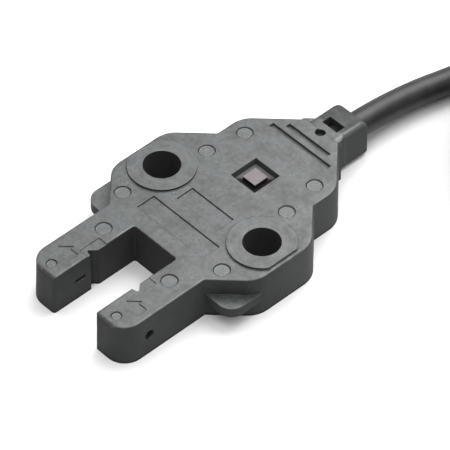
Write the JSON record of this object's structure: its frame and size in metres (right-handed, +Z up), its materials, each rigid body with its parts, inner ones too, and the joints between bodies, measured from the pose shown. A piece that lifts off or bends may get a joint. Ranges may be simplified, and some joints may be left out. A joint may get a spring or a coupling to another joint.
{
  "type": "photoelectric fork sensor",
  "caption": "Flat U-shaped photoelectric fork sensor with screw ears, a square indicator window, beam arrows across the slot and a fixed grey cable tied in a coil.",
  "frame": {"origin": "on the flat underside, midway between the two mounting holes", "axes": "+X to the arm with the emitter, +Y to the cable, +Z up through the thickness"},
  "size_m": [0.0444, 0.0638, 0.0153],
  "materials": {
    "housing_plastic": "matte, fine grain",
    "cover_plastic": "matte",
    "board_laminate": "semi-gloss",
    "window_plastic": "satin, translucent",
    "optic_window_plastic": "gloss",
    "package_resin": "gloss",
    "lamp_resin": "gloss, translucent",
    "chip_mould": "satin",
    "ceramic": "satin",
    "tinned_metal": "satin",
    "casting_resin": "gloss",
    "cable_jacket": "satin",
    "tie_plastic": "satin",
    "core_brown": "satin",
    "core_white": "satin",
    "core_black": "satin",
    "core_blue": "satin"
  },
  "bodies": {
    "root": {"housing": "housing_plastic", "bottom_cover": "cover_plastic", "circuit_board": "board_laminate", "indicator_window": "window_plastic", "emitter_window": "optic_window_plastic", "receiver_window": "optic_window_plastic", "emitter_led": "package_resin", "receiver_ic": "package_resin", "indicator_led": "lamp_resin", "driver_ic": "chip_mould", "output_transistor": "chip_mould", "protection_diode": "chip_mould", "capacitor": "ceramic", "resistor_1": "chip_mould", "resistor_2": "chip_mould", "resistor_3": "chip_mould", "sealing_resin": "casting_resin", "cable": "cable_jacket", "cable_coil": "cable_jacket", "cable_end": "cable_jacket", "coil_tie": "tie_plastic", "emitter_lead_anode": "tinned_metal", "emitter_lead_cathode": "tinned_metal", "receiver_lead_supply": "tinned_metal", "receiver_lead_output": "tinned_metal", "receiver_lead_ground": "tinned_metal", "wire_brown": "core_brown", "tail_brown": "core_brown", "wire_white": "core_white", "tail_white": "core_white", "wire_black": "core_black", "tail_black": "core_black", "wire_blue": "core_blue", "tail_blue": "core_blue"}
  },
  "joints": []
}
